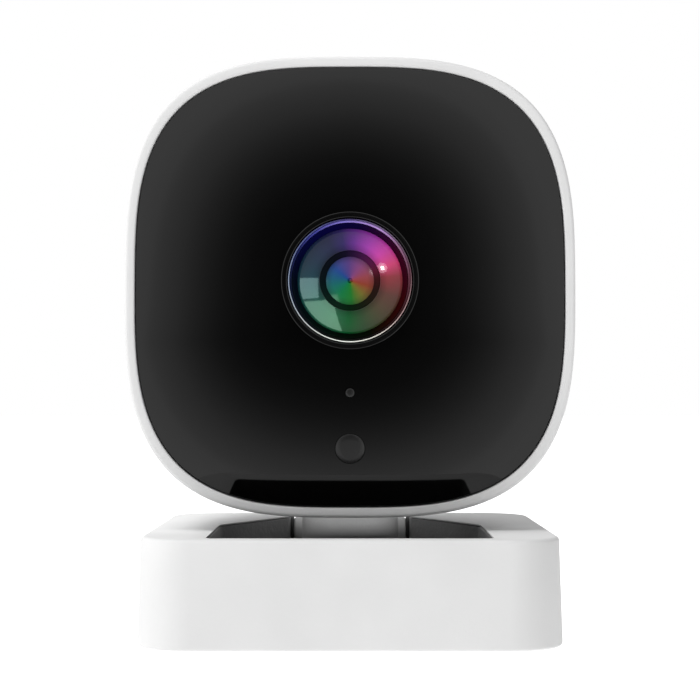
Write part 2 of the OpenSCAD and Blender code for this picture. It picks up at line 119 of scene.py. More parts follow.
def cut(obj, *cutters, sharp=30):
    for cutter in cutters:
        boolean = obj.modifiers.new("cut", "BOOLEAN")
        boolean.operation, boolean.solver, boolean.object = "DIFFERENCE", "EXACT", cutter
    apply_modifiers(obj, sharp)
    for cutter in cutters:
        bpy.data.objects.remove(cutter)


def merged(name, *parts, sharp=30):
    """One object holding the meshes of several."""
    verts, faces = [], []
    for part in parts:
        start = len(verts)
        verts += [v.co.copy() for v in part.data.vertices]
        faces += [tuple(start + i for i in face.vertices) for face in part.data.polygons]
        bpy.data.objects.remove(part)
    return new_object(name, verts, faces, sharp)


def bevel(obj, width):
    sharp_edge = 50                          # degrees
    rounding = obj.modifiers.new("bevel", "BEVEL")
    rounding.width, rounding.segments = width, 2
    rounding.limit_method, rounding.angle_limit = "ANGLE", math.radians(sharp_edge)
    apply_modifiers(obj, sharp_edge)


def loft(name, rings, sharp=30, closed=False):
    """Skins rings of equal length, and closes the ends unless the rings themselves join up."""
    count = len(rings[0])
    verts = [v for ring in rings for v in ring]
    pairs = [(i, i + 1) for i in range(len(rings) - 1)]
    if closed:
        pairs.append((len(rings) - 1, 0))
    faces = []
    for a, b in pairs:
        for i in range(count):
            j = (i + 1) % count
            faces.append((a * count + i, a * count + j, b * count + j, b * count + i))
    if not closed:
        for end in (0, len(rings) - 1):
            faces.append(tuple(end * count + i for i in range(count)))
    return new_object(name, verts, faces, sharp)


def outline(hw, hh, y, count=AROUND):
    """A rounded-square outline facing along Y, centred on the head."""
    ring = []
    for i in range(count):
        a = 2 * math.pi * i / count
        c, s = math.cos(a), math.sin(a)
        r = (abs(c / hw) ** POWER + abs(s / hh) ** POWER) ** (-1 / POWER)
        ring.append(Vector((HEAD.x + r * c, y, HEAD.z + r * s)))
    return ring


def turned(name, centre, profile, count=96, sharp=30, closed=False):
    """Turns a profile of (radius, depth) points about an axis along Y."""
    rings = []
    for r, y in profile:
        rings.append([Vector((centre.x + r * math.cos(2 * math.pi * i / count), y,
                              centre.z + r * math.sin(2 * math.pi * i / count)))
                      for i in range(count)])
    return loft(name, rings, sharp, closed)


def upright_turned(name, centre, profile, count=96, sharp=30, closed=False):
    """Turns a profile of (radius, height) points about a vertical axis."""
    rings = []
    for r, z in profile:
        rings.append([Vector((centre.x + r * math.cos(2 * math.pi * i / count),
                              centre.y + r * math.sin(2 * math.pi * i / count), z))
                      for i in range(count)])
    return loft(name, rings, sharp, closed)


def arc(centre_r, centre_y, radius, start, stop, steps=6):
    """Points of a rounded corner in a profile; angles in degrees."""
    points = []
    for i in range(steps + 1):
        a = math.radians(start + (stop - start) * i / steps)
        points.append((centre_r + radius * math.cos(a), centre_y + radius * math.sin(a)))
    return points


def rounded_plan(hw, hd, r, z, per_corner=14):
    """A rounded rectangle in plan, centred on the base."""
    ring = []
    corners = [(1, 1, 0), (-1, 1, 90), (-1, -1, 180), (1, -1, 270)]
    for sx, sy, start in corners:
        for i in range(per_corner + 1):
            a = math.radians(start + 90 * i / per_corner)
            ring.append(Vector((sx * (hw - r) + r * math.cos(a), sy * (hd - r) + r * math.sin(a), z)))
    return ring


def box_object(name, lo, hi):
    x0, y0, z0 = lo
    x1, y1, z1 = hi
    ring = [(x0, y0), (x1, y0), (x1, y1), (x0, y1)]
    return loft(name, [[Vector((x, y, z)) for x, y in ring] for z in (z0, z1)])


# ---- materials -----------------------------------------------------------------------------
def material(name, **sockets):
    mat = bpy.data.materials.new(name)
    mat.use_nodes = True
    shader = mat.node_tree.nodes["Principled BSDF"]
    for key, value in sockets.items():
        shader.inputs[key.replace("_", " ")].default_value = value
    return mat, mat.node_tree, shader


def object_noise(tree, scale, detail=3.0, stretch=(1, 1, 1)):
    coords = tree.nodes.new("ShaderNodeTexCoord")
    mapping = tree.nodes.new("ShaderNodeMapping")
    mapping.inputs["Scale"].default_value = stretch
    noise = tree.nodes.new("ShaderNodeTexNoise")
    noise.inputs["Scale"].default_value = scale
    noise.inputs["Detail"].default_value = detail
    tree.links.new(coords.outputs["Object"], mapping.inputs["Vector"])
    tree.links.new(mapping.outputs["Vector"], noise.inputs["Vector"])
    return noise


def ramp(tree, source, low, high, start=0.0, end=1.0):
    node = tree.nodes.new("ShaderNodeMapRange")
    node.inputs["From Min"].default_value, node.inputs["From Max"].default_value = start, end
    node.inputs["To Min"].default_value, node.inputs["To Max"].default_value = low, high
    tree.links.new(source, node.inputs["Value"])
    return node.outputs["Result"]


def colour_ramp(tree, source, stops):
    node = tree.nodes.new("ShaderNodeValToRGB")
    band = node.color_ramp
    band.elements[0].position, band.elements[0].color = stops[0][0], (*stops[0][1], 1)
    band.elements[1].position, band.elements[1].color = stops[-1][0], (*stops[-1][1], 1)
    for place, colour in stops[1:-1]:
        band.elements.new(place).color = (*colour, 1)
    tree.links.new(source, node.inputs["Fac"])
    return node.outputs["Color"]


def mix_colour(tree, factor, a, b):
    node = tree.nodes.new("ShaderNodeMix")
    node.data_type = "RGBA"
    tree.links.new(factor, node.inputs[0])
    tree.links.new(a, node.inputs[6])
    tree.links.new(b, node.inputs[7])
    return node.outputs[2]


def math_node(tree, operation, *values):
    node = tree.nodes.new("ShaderNodeMath")
    node.operation = operation
    for socket, value in zip(node.inputs, values):
        if isinstance(value, (int, float)):
            socket.default_value = value
        else:
            tree.links.new(value, socket)
    return node.outputs[0]


def turn_and_reach(tree, centre):
    """The turn about an axis along Y, as 0 to 1 from the left, and the distance from it."""
    coords = tree.nodes.new("ShaderNodeTexCoord")
    parts = tree.nodes.new("ShaderNodeSeparateXYZ")
    tree.links.new(coords.outputs["Object"], parts.inputs[0])
    x = math_node(tree, "SUBTRACT", parts.outputs["X"], centre.x)
    z = math_node(tree, "SUBTRACT", parts.outputs["Z"], centre.z)
    angle = math_node(tree, "ARCTAN2", z, x)
    turn = math_node(tree, "MULTIPLY_ADD", angle, 0.5 / math.pi, 0.5)
    square_x = math_node(tree, "MULTIPLY", x, x)
    square_z = math_node(tree, "MULTIPLY", z, z)
    return turn, math_node(tree, "SQRT", math_node(tree, "ADD", square_x, square_z))


def clouded(tree, shader, noise, dark, light):
    """Lets a noise run the base colour between two tints."""
    tint = colour_ramp(tree, noise.outputs["Fac"], [(0.3, dark), (0.7, light)])
    tree.links.new(tint, shader.inputs["Base Color"])


def add_bump(tree, shader, height, depth):
    bump = tree.nodes.new("ShaderNodeBump")
    bump.inputs["Strength"].default_value = 1.0
    bump.inputs["Distance"].default_value = depth
    tree.links.new(height, bump.inputs["Height"])
    tree.links.new(bump.outputs["Normal"], shader.inputs["Normal"])


def moulded(name, dark, light, roughness, grain=0.00002, scale=2600, **sockets):
    """Moulded plastic: a spark-eroded grain, with faint changes of tone and gloss."""
    mat, tree, shader = material(name, **sockets)
    cloud = object_noise(tree, 90, 2)
    grains = object_noise(tree, scale, 2)
    clouded(tree, shader, cloud, dark, light)
    gloss = ramp(tree, cloud.outputs["Fac"], roughness - 0.04, roughness + 0.04, 0.3, 0.7)
    tree.links.new(gloss, shader.inputs["Roughness"])
    add_bump(tree, shader, grains.outputs["Fac"], grain)
    return mat


def grey(v):
    return (v, v, v)


def brushed_metal(name, colour, roughness=0.32, stretch=(1, 1, 30)):
    mat, tree, shader = material(name, Metallic=1.0)
    lines = object_noise(tree, 900, 2, stretch)
    clouded(tree, shader, lines, tuple(c * 0.85 for c in colour), colour)
    gloss = ramp(tree, lines.outputs["Fac"], roughness - 0.06, roughness + 0.08, 0.3, 0.7)
    tree.links.new(gloss, shader.inputs["Roughness"])
    add_bump(tree, shader, lines.outputs["Fac"], 0.00001)
    return mat


WHITE = moulded("white_moulding", grey(0.7), grey(0.74), 0.5, Specular_IOR_Level=0.15)
RECESS = moulded("recess_moulding", grey(0.055), grey(0.09), 0.5, 0.00006, 1500)
NECK = moulded("neck_moulding", grey(0.34), grey(0.46), 0.45, 0.00005, 1200)
COVER = moulded("cover_moulding", grey(0.6), grey(0.66), 0.6, 0.00005, 1500)
BLACK = moulded("black_moulding", grey(0.008), grey(0.014), 0.4, 0.00003, 2000)
NYLON = moulded("nylon_moulding", (0.62, 0.6, 0.52), (0.7, 0.68, 0.6), 0.45)
RUBBER = moulded("foot_rubber", grey(0.09), grey(0.12), 0.75, 0.00008, 1500)
SOFT_BLACK = moulded("black_rubber", grey(0.012), grey(0.02), 0.7, 0.00006, 1500)
STEEL = brushed_metal("brushed_steel", (0.55, 0.56, 0.58))
NICKEL = brushed_metal("nickel_plate", (0.66, 0.64, 0.6), 0.2)
BRASS = brushed_metal("turned_brass", (0.68, 0.5, 0.22), 0.26, (1, 1, 1))
ALUMINIUM = brushed_metal("extruded_aluminium", (0.7, 0.71, 0.73), 0.36, (1, 30, 1))


def panel_material():
    mat, tree, shader = material("black_panel_gloss", IOR=1.5)
    waves = object_noise(tree, 25, 1)
    clouded(tree, shader, waves, grey(0.0006), grey(0.0009))
    tree.links.new(ramp(tree, waves.outputs["Fac"], 0.035, 0.055, 0.3, 0.7),
                   shader.inputs["Roughness"])
    return mat


def board_material():
    """Green solder mask with copper tracks showing faintly through it."""
    mat, tree, shader = material("solder_mask", Roughness=0.3)
    coords = tree.nodes.new("ShaderNodeTexCoord")
    tracks = tree.nodes.new("ShaderNodeTexBrick")
    tracks.inputs["Scale"].default_value = 260
    tracks.inputs["Color1"].default_value = (0.01, 0.11, 0.035, 1)
    tracks.inputs["Color2"].default_value = (0.008, 0.09, 0.03, 1)
    tracks.inputs["Mortar"].default_value = (0.03, 0.2, 0.06, 1)
    tracks.inputs["Mortar Size"].default_value = 0.03
    tree.links.new(coords.outputs["Object"], tracks.inputs["Vector"])
    tree.links.new(tracks.outputs["Color"], shader.inputs["Base Color"])
    add_bump(tree, shader, tracks.outputs["Fac"], 0.00002)
    return mat


def film_material():
    """Amber film with fine lines along it, for the ribbon and the antenna."""
    mat, tree, shader = material("polyimide_film", Roughness=0.3)
    lines = object_noise(tree, 700, 1, (20, 1, 1))
    amber, bright = (0.32, 0.12, 0.02), (0.5, 0.22, 0.04)
    tint = colour_ramp(tree, lines.outputs["Fac"], [(0.4, amber), (0.6, bright)])
    tree.links.new(tint, shader.inputs["Base Color"])
    return mat


def glass_material(name, colour, roughness=0.02):
    mat, tree, shader = material(name, IOR=1.5, Transmission_Weight=1.0)
    haze = object_noise(tree, 60, 1)
    clouded(tree, shader, haze, tuple(c * 0.95 for c in colour), colour)
    gloss = ramp(tree, haze.outputs["Fac"], roughness, roughness + 0.01)
    tree.links.new(gloss, shader.inputs["Roughness"])
    return mat


def linear(r, g, b):
    """A colour as the eye names it, 0 to 255, in the renderer's linear light."""
    return tuple((v / 255) ** 2.2 for v in (r, g, b))


def painted_reflection_coat(name, stops, roughness, edge_shade=None, specular=0.5):
    """A painted reflection on a lens: the coating's reflected tints, painted into the base colour so they
    run round the axis; stops are degrees anticlockwise from the right.
    """
    mat, tree, shader = material(name, IOR=1.55, Specular_IOR_Level=specular)
    turn, reach = turn_and_reach(tree, LENS)
    band = [(((degrees + 180) % 360) / 360, linear(*colour)) for degrees, colour in stops]
    band.sort()
    first, last = band[0], band[-1]
    gap = first[0] + 1 - last[0]
    seam = tuple(a + (b - a) * (1 - last[0]) / gap for a, b in zip(last[1], first[1]))
    tint = colour_ramp(tree, turn, [(0.0, seam)] + band + [(1.0, seam)])
    if edge_shade:
        inner, outer, low = edge_shade
        shade = ramp(tree, reach, low, 1.0, inner, outer)
        dark = tree.nodes.new("ShaderNodeRGB")
        dark.outputs[0].default_value = (0.002, 0.002, 0.003, 1)
        tint = mix_colour(tree, shade, dark.outputs[0], tint)
    # the tint is a painted reflection, darkened by painted shade near the axis when edge_shade is given
    tree.links.new(tint, shader.inputs["Base Color"])
    speckle = object_noise(tree, 500, 1)
    gloss = ramp(tree, speckle.outputs["Fac"], roughness, roughness + 0.02)
    tree.links.new(gloss, shader.inputs["Roughness"])
    return mat


# painted reflections: the coating's reflected colours round each lens piece, given as base colour on dark
# glass
DOME_REFLECTION_TINTS = [(180, (26, 54, 62)), (150, (30, 44, 60)), (118, (34, 36, 62)), (100, (48, 38, 84)),
              (84, (88, 44, 118)), (62, (140, 54, 146)), (42, (178, 60, 146)), (22, (190, 62, 106)),
              (6, (130, 52, 60)), (-20, (86, 56, 50)), (-50, (66, 62, 44)), (-72, (44, 66, 42)),
              (-92, (18, 76, 40)), (-115, (38, 84, 60)), (-150, (30, 70, 62))]
# painted reflection on the inner element
PUPIL_REFLECTION_TINTS = [(180, (30, 79, 92)), (140, (36, 61, 115)), (95, (75, 56, 107)), (55, (112, 61, 102)),
               (15, (130, 61, 69)), (-15, (123, 57, 43)), (-50, (98, 92, 41)), (-85, (33, 100, 41)),
               (-125, (23, 98, 59)), (-155, (28, 90, 79))]
# painted reflection on the bezel: light violet at the top, near black at the bottom
BEZEL_REFLECTION_TINTS = [(180, (16, 26, 52)), (150, (28, 34, 84)), (125, (66, 68, 150)), (95, (128, 116, 200)),
               (62, (176, 140, 206)), (35, (140, 100, 130)), (5, (92, 54, 66)), (-30, (50, 24, 26)),
               (-70, (12, 12, 10)), (-110, (8, 14, 10)), (-150, (10, 18, 28))]
# painted highlight on the bezel's edge wire: near white at the bottom, painted reflection elsewhere
EDGE_HIGHLIGHT_TINTS = [(180, (150, 165, 190)), (140, (96, 104, 160)), (95, (70, 64, 110)), (50, (110, 96, 120)),
              (10, (100, 70, 80)), (-35, (170, 140, 140)), (-65, (225, 222, 212)), (-90, (245, 248, 240)),
              (-120, (226, 230, 224)), (-150, (180, 190, 200))]
# painted reflection, faint, on the black chamfer
CHAMFER_REFLECTION_TINTS = [(180, (8, 14, 26)), (130, (10, 10, 56)), (80, (14, 4, 44)), (30, (46, 4, 28)),
                 (-20, (44, 6, 10)), (-70, (10, 14, 6)), (-130, (4, 14, 14))]
PANEL = panel_material()
BOARD = board_material()
DOME_SHADE = (3.85 * MM, 4.7 * MM, 0.6)       # shade beside the iris: darkest radius, clear radius, tone
PUPIL_SHADE = (3.1 * MM, 2.2 * MM, 0.55)
IRIS_TONE = 0.42                  # the iris's painted reflection against the dome's round it
DOME = painted_reflection_coat("dome_painted_reflection", DOME_REFLECTION_TINTS, 0.05, DOME_SHADE, 0.2)
PUPIL = painted_reflection_coat("pupil_painted_reflection", PUPIL_REFLECTION_TINTS, 0.12, PUPIL_SHADE, 0.15)
BEZEL = painted_reflection_coat("bezel_painted_reflection", BEZEL_REFLECTION_TINTS, 0.2, None, 0.1)
BEZEL_EDGE = painted_reflection_coat("bezel_edge_painted_highlight", EDGE_HIGHLIGHT_TINTS, 0.2, None, 0.1)
CHAMFER = painted_reflection_coat("chamfer_black_painted_reflection", CHAMFER_REFLECTION_TINTS, 0.4, None, 0.05)
IRIS_REFLECTION_TINTS = [(degrees, tuple(IRIS_TONE * v for v in colour)) for degrees, colour in DOME_REFLECTION_TINTS]
IRIS = painted_reflection_coat("iris_black_painted_reflection", IRIS_REFLECTION_TINTS, 0.5, None, 0.03)
TRIM = moulded("trim_gloss_black", grey(0.0015), grey(0.003), 0.12, 0.000002)
SMOKED = moulded("smoked_window", grey(0.008), grey(0.011), 0.3, 0.000004)
FILM = film_material()
FILTER = glass_material("filter_glass", (0.75, 0.9, 0.95))


# ---- camera, light and floor ---------------------------------------------------------------
def look(obj, target):
    obj.rotation_euler = (Vector(target) - obj.location).to_track_quat("-Z", "Y").to_euler()


def make_camera():
    """In front of the base, about 30 mm above the table and aimed slightly up."""
    distance, height, upward = 0.19, 0.0302, math.radians(1.85)
    data = bpy.data.cameras.new("camera")
    data.sensor_width, data.lens = 36, 82.3
    camera = bpy.data.objects.new("camera", data)
    bpy.context.scene.collection.objects.link(camera)
    camera.location = (0, BASE_LO.y - distance, height)
    camera.rotation_euler = (math.pi / 2 + upward, 0, 0)
    camera.data.clip_start = 0.01
    bpy.context.scene.camera = camera


def area_light(name, place, target, size, power, colour=(1, 1, 1)):
    data = bpy.data.lights.new(name, "AREA")
    data.shape = "ELLIPSE" if size[0] == size[1] else "RECTANGLE"
    data.energy, data.color = power, colour
    data.size, data.size_y = size
    light = bpy.data.objects.new(name, data)
    bpy.context.scene.collection.objects.link(light)
    light.location = place
    look(light, target)
    return light


def make_world():
    """White to the camera, a soft light from the upper left, and a dark room for the gloss to mirror."""
    world = bpy.data.worlds.new("studio")
    bpy.context.scene.world = world
    world.use_nodes = True
    tree = world.node_tree
    background = tree.nodes["Background"]
    coords = tree.nodes.new("ShaderNodeTexCoord")
    towards_room = tree.nodes.new("ShaderNodeVectorMath")
    towards_room.operation = "DOT_PRODUCT"
    towards_room.inputs[1].default_value = (-0.03, -0.9965, 0.07)
    tree.links.new(coords.outputs["Generated"], towards_room.inputs[0])
    parts = tree.nodes.new("ShaderNodeSeparateXYZ")
    tree.links.new(coords.outputs["Generated"], parts.inputs[0])
    sideways_and_up = math_node(tree, "MULTIPLY", parts.outputs["X"], parts.outputs["Z"])
    corner = math_node(tree, "ABSOLUTE", sideways_and_up)
    aim = math_node(tree, "MULTIPLY_ADD", corner, -0.6, towards_room.outputs["Value"])
    mirrored = colour_ramp(tree, aim, [
        (0.0, grey(0.95)), (0.62, grey(0.95)), (0.70, grey(0.85)), (0.74, grey(0.7)),
        (0.83, grey(0.48)), (0.89, grey(0.28)), (0.94, grey(0.13)), (0.97, grey(0.065)),
        (0.985, grey(0.05)), (1.0, grey(0.02))])
    towards_light = tree.nodes.new("ShaderNodeVectorMath")
    towards_light.operation = "DOT_PRODUCT"
    towards_light.inputs[1].default_value = (-0.62, 0.1, 0.78)
    tree.links.new(coords.outputs["Generated"], towards_light.inputs[0])
    lit = ramp(tree, towards_light.outputs["Value"], 0.08, 0.75, 0.0, 0.95)
    rays = tree.nodes.new("ShaderNodeLightPath")
    gloss_or_lit = mix_colour(tree, rays.outputs["Is Glossy Ray"], lit, mirrored)
    white = tree.nodes.new("ShaderNodeRGB")
    white.outputs[0].default_value = (1, 1, 1, 1)
    seen = mix_colour(tree, rays.outputs["Is Camera Ray"], gloss_or_lit, white.outputs[0])
    tree.links.new(seen, background.inputs["Color"])


def make_floor():
    """A softly glowing white table that the gloss doesn't mirror."""
    mesh = bpy.data.meshes.new("floor")
    side = 3.0
    mesh.from_pydata([(-side, -side, 0), (side, -side, 0), (side, side, 0), (-side, side, 0)],
                     [], [(0, 1, 2, 3)])
    floor = bpy.data.objects.new("floor", mesh)
    bpy.context.scene.collection.objects.link(floor)
    mat, tree, shader = material("pale_floor", Roughness=0.9, Specular_IOR_Level=0.1,
                                 Emission_Color=(1, 1, 1, 1), Emission_Strength=1.25)
    tone = object_noise(tree, 3, 1)
    clouded(tree, shader, tone, grey(0.3), grey(0.32))
    floor.data.materials.append(mat)
    floor.visible_glossy = False


make_camera()
make_world()
make_floor()
key = area_light("key_light", (-0.22, -0.12, 0.5), (0, 0, 0.03), (0.3, 0.3), 2.2)
key.visible_glossy = False
bpy.context.scene.view_settings.view_transform = "Standard"


# ---- finishing a piece ---------------------------------------------------------------------
def finish_piece(obj, body, slot_name, mat, *nodes):
    obj.data.materials.clear()
    obj.data.materials.append(mat)
    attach(obj, body)
    if nodes:
        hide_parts(*nodes)


# ---- head ----------------------------------------------------------------------------------
def share_at(y):
    """How big the head is at a depth, against its size at the rim."""
    return 1 - (1 - BACK_SHARE) * max(0, (y - RIM_Y) / (BACK_Y - RIM_Y)) ** BACK_POWER


def head_ring(y, inset):
    share = share_at(y)
    return outline(HEAD_HW * share - inset, HEAD_HH * share - inset, y)


def make_head_shell():
    """A tapering tube with a rounded rim, a seat for the panel and a hole for the post."""
    rim_round, lip_round, wall, seat = 0.45 * MM, 0.25 * MM, 2.0 * MM, PANEL_BACK
    lip_in = HEAD_HW - PANEL_HW - 0.08 * MM
    hole_r = POST_R + 0.2 * MM
    rings = []
    steps = 26
    end = SEAM_Y - SEAM_GAP
    for i in range(steps + 1):                           # outside, from the seam to the rim
        y = end + (RIM_Y + rim_round - end) * i / steps
        rings.append(head_ring(y, 0))
    for r, y in arc(rim_round, RIM_Y + rim_round, rim_round, 180, 270, 6)[1:]:
        rings.append(head_ring(y, r))
    for r, y in arc(lip_in - lip_round, RIM_Y + lip_round, lip_round, 270, 360, 4):
        rings.append(outline(HEAD_HW - r, HEAD_HH - r, y))
    rings.append(outline(HEAD_HW - lip_in, HEAD_HH - lip_in, seat))
    rings.append(outline(HEAD_HW - wall, HEAD_HH - wall, seat))
    steps = 8
    for i in range(1, steps + 1):                        # inside, back to the seam
        rings.append(head_ring(seat + (end - seat) * i / steps, wall))
    rings.append(head_ring(end, SEAM_GAP))
    shell = loft("head_shell_moulding", rings, 50, closed=True)
    hole = upright_turned("post_hole", POST, [
        (hole_r, HEAD_BOTTOM - 3 * MM), (hole_r, HEAD_BOTTOM + 5 * MM)])
    cut(shell, hole, sharp=50)
    finish_piece(shell, "head", "white_plastic", WHITE, "head_shell")


def make_rear_cover():
    """A solid cap with a rounded back edge and blind holes for the ports, button and sound."""
    start = SEAM_Y + SEAM_GAP
    full = start + 0.1 * MM                  # where the seam's small chamfer ends
    edge = 2.2 * MM
    rings = [head_ring(start, edge), head_ring(start, SEAM_GAP), head_ring(full, 0)]
    steps = 8
    for i in range(1, steps + 1):
        rings.append(head_ring(full + (BACK_Y - edge - full) * i / steps, 0))
    for r, y in arc(edge, BACK_Y - edge, edge, 180, 90, 10)[1:]:
        rings.append(head_ring(y, r))
    wide = HEAD_HW * share_at(BACK_Y) - edge
    tall = HEAD_HH * share_at(BACK_Y) - edge
    for s in (0.8, 0.55, 0.3, 0.12):         # the flat back, in narrowing rings
        rings.append(outline(wide * s, tall * s, BACK_Y))
    cover = loft("rear_cover_moulding", rings, 40)
    usb, card = middle("usb_socket"), middle("card_socket")
    button, speaker, mic = middle("setup_button"), middle("speaker"), middle("microphone")
    deep, out = BACK_Y - 2.5 * MM, BACK_Y + 2 * MM
    button_r, mic_r, sound_r, pitch = 2.15 * MM, 0.55 * MM, 0.7 * MM, 2.6 * MM
    cutters = [
        rounded_slot("usb_hole", usb, 4.7 * MM, 1.8 * MM, 1.0 * MM, deep, out),
        rounded_slot("card_hole", card, 0.75 * MM, 5.9 * MM, 0.5 * MM, deep, out),
        turned("button_hole", button, [(button_r, deep), (button_r, out)], 48),
        turned("mic_hole", mic, [(mic_r, deep), (mic_r, out)], 24)]
    for row in range(-2, 3):
        for col in range(-2, 3):
            if abs(row) + abs(col) < 4:
                place = speaker + Vector((col * pitch, 0, row * pitch))
                cutters.append(turned("sound_hole", place, [(sound_r, deep), (sound_r, out)], 24))
    cut(cover, *cutters, sharp=40)
    finish_piece(cover, "head", "white_plastic", WHITE, "rear_cover")


def rounded_slot(name, centre, hw, hh, r, y0, y1):
    """A bar along Y whose section is a rounded rectangle."""
    per_corner = 6
    rings = []
    for y in (y0, y1):
        ring = []
        for sx, sz, start in ((1, 1, 0), (-1, 1, 90), (-1, -1, 180), (1, -1, 270)):
            for i in range(per_corner + 1):
                a = math.radians(start + 90 * i / per_corner)
                ring.append(Vector((centre.x + sx * (hw - r) + r * math.cos(a), y,
                                    centre.z + sz * (hh - r) + r * math.sin(a))))
        rings.append(ring)
    return loft(name, rings)


def panel_ring(share):
    """The pillow's outline at a share of its full size."""
    y = RIM_Y - BULGE * (1 - share ** PANEL_POWER)
    return outline(PANEL_HW * share, PANEL_HH * share, y)


STATUS_R, WINDOW_R = 0.56 * MM, 1.84 * MM
HOLE_GAP, WINDOW_GAP = 0.04 * MM, 0.06 * MM


def make_front_panel():
    """The glossy pillow, with holes for the lens ring, the status light and the window."""
    lip, ledge = 1.2 * MM, 0.25 * MM
    rings = [outline(PANEL_HW - lip, PANEL_HH - lip, PANEL_BACK),
             outline(PANEL_HW, PANEL_HH, PANEL_BACK),
             outline(PANEL_HW, PANEL_HH, RIM_Y + ledge)]
    steps = 56
    first, reach = 0.9955, 0.985             # the largest ring, and how far the rings shrink
    for i in range(steps):
        rings.append(panel_ring(first - i / steps * reach))
    panel = loft("front_panel_moulding", rings, 45)
    status, window = middle("status_light_pipe"), middle("light_sensor_window")
    near, deep = PANEL_FRONT - 4 * MM, PANEL_BACK + 2 * MM
    holes = [("ring_hole", LENS, RING_R + HOLE_GAP, LENS_AROUND),
             ("status_hole", status, STATUS_R + HOLE_GAP, 48),
             ("window_hole", window, WINDOW_R + WINDOW_GAP, 64)]
    cutters = [turned(name, centre, [(r, near), (r, deep)], count) for name, centre, r, count in holes]
    cut(panel, *cutters, sharp=45)
    finish_piece(panel, "head", "black_panel", PANEL, "front_panel")


# ---- lens ----------------------------------------------------------------------------------
BEZEL_R = 7.72 * MM
BEZEL_IN = 7.28 * MM
DOME_R = 6.62 * MM
IRIS_OUT = 3.85 * MM
IRIS_IN = 3.02 * MM
RING_FRONT, RING_BACK = span("lens_trim_ring", 1)
SEAT = RING_FRONT + 1.35 * MM                # where the coloured dome meets the chamfer


def dome_y(r, rise, edge_r, edge_y):
    """Depth of a ball-shaped surface that rises from edge_y at edge_r."""
    ball = (edge_r ** 2 + rise ** 2) / (2 * rise)
    return edge_y - rise + ball - math.sqrt(ball ** 2 - r ** 2)


def lens_piece(name, profile, slot_name, mat, *nodes):
    """A ring turned about the lens axis and fitted to the head."""
    piece = turned(name, LENS, profile, LENS_AROUND, LENS_SHARP, closed=True)
    finish_piece(piece, "head", slot_name, mat, *nodes)
    return piece


def make_trim_ring():
    lip = 0.12 * MM
    lens_piece("lens_trim_ring_moulding",
               [(BEZEL_R + 0.03 * MM, RING_BACK), (RING_R - lip, RING_BACK)]
               + arc(RING_R - lip, RING_FRONT + lip, lip, 0, -90, 5)
               + arc(BEZEL_R + 0.28 * MM, RING_FRONT + lip, lip, -90, -180, 5),
               "lens_black", TRIM, "lens_trim_ring")


def make_bezel():
    """A polished ring inside the trim ring with painted reflections on it, and a thin wire round it whose
    brightness is a painted highlight.
    """
    deep = RING_FRONT + 2.0 * MM
    bezel_out = BEZEL_R - 0.15 * MM
    half = (bezel_out - BEZEL_IN) / 2
    lens_piece("lens_bezel",
               [(BEZEL_IN, deep), (bezel_out, deep)]
               + arc(BEZEL_IN + half, RING_FRONT + 0.3 * MM + half, half, 0, -180, 12),
               "lens_black", BEZEL)
    wire = 0.07 * MM
    lens_piece("lens_bezel_edge",
               [(BEZEL_R - 2 * wire, deep), (BEZEL_R, deep)]
               + arc(BEZEL_R - wire, RING_FRONT + 0.16 * MM + wire, wire, 0, -180, 8),
               "lens_black", BEZEL_EDGE)


def make_barrel():
    """The black chamfer between the bezel and the dome."""
    barrel_back = span("lens_barrel", 1)[1]
    barrel_r, barrel_in = BEZEL_IN - 0.02 * MM, DOME_R - 0.35 * MM
    return lens_piece("lens_barrel_moulding", [
        (barrel_in, barrel_back), (barrel_r, barrel_back), (barrel_r, RING_FRONT + 0.55 * MM),
        (barrel_r - 0.12 * MM, RING_FRONT + 0.5 * MM), (DOME_R + 0.06 * MM, SEAT - 0.1 * MM),
        (DOME_R, SEAT), (barrel_in, SEAT + 0.6 * MM)], "lens_black", CHAMFER, "lens_barrel")


def make_dome_and_iris():
    """The coloured dome, open in the middle, with the black iris sunk in its opening."""
    rise, steps, dome_back = 1.5 * MM, 18, SEAT + 0.9 * MM
    dome_r = DOME_R - 0.04 * MM
    profile = [(dome_r, dome_back), (dome_r + 0.02 * MM, SEAT + 0.02 * MM)]
    for i in range(steps + 1):
        r = dome_r - (dome_r - IRIS_OUT) * i / steps
        profile.append((r, dome_y(r, rise, DOME_R, SEAT)))
    edge = profile[-1][1]
    profile += [(IRIS_OUT - 0.06 * MM, edge + 0.05 * MM), (IRIS_OUT - 0.08 * MM, dome_back)]
    glass = lens_piece("front_lens_glass", profile, "lens_glass", DOME, "front_lens")

    iris_r, iris_back = IRIS_OUT - 0.09 * MM, SEAT + 0.8 * MM
    lens_piece("iris_ring_disc", [
        (iris_r, iris_back), (iris_r, edge + 0.06 * MM), (IRIS_OUT - 0.2 * MM, edge + 0.03 * MM),
        (IRIS_IN + 0.1 * MM, edge + 0.28 * MM), (IRIS_IN, edge + 0.36 * MM), (IRIS_IN, iris_back)],
        "lens_black", IRIS, "iris_ring")
    return glass, edge


def make_inner_element(dome_edge):
    """The small domed lens behind the iris."""
    rise, steps, element_back = 0.42 * MM, 12, SEAT + 0.8 * MM
    element_r, tip_r = IRIS_IN - 0.01 * MM, 0.33 * MM
    profile = [(0.5 * MM, element_back), (element_r, element_back)]
    for i in range(steps + 1):
        r = element_r - (element_r - tip_r) * i / steps
        profile.append((r, dome_y(r, rise, IRIS_IN, dome_edge + rise)))
    profile.append((0.3 * MM, profile[-1][1] + 0.3 * MM))
    element = turned("inner_lens_element", LENS, profile, 128, LENS_SHARP)
    finish_piece(element, "head", "lens_glass", PUPIL, "middle_lens")
    return element


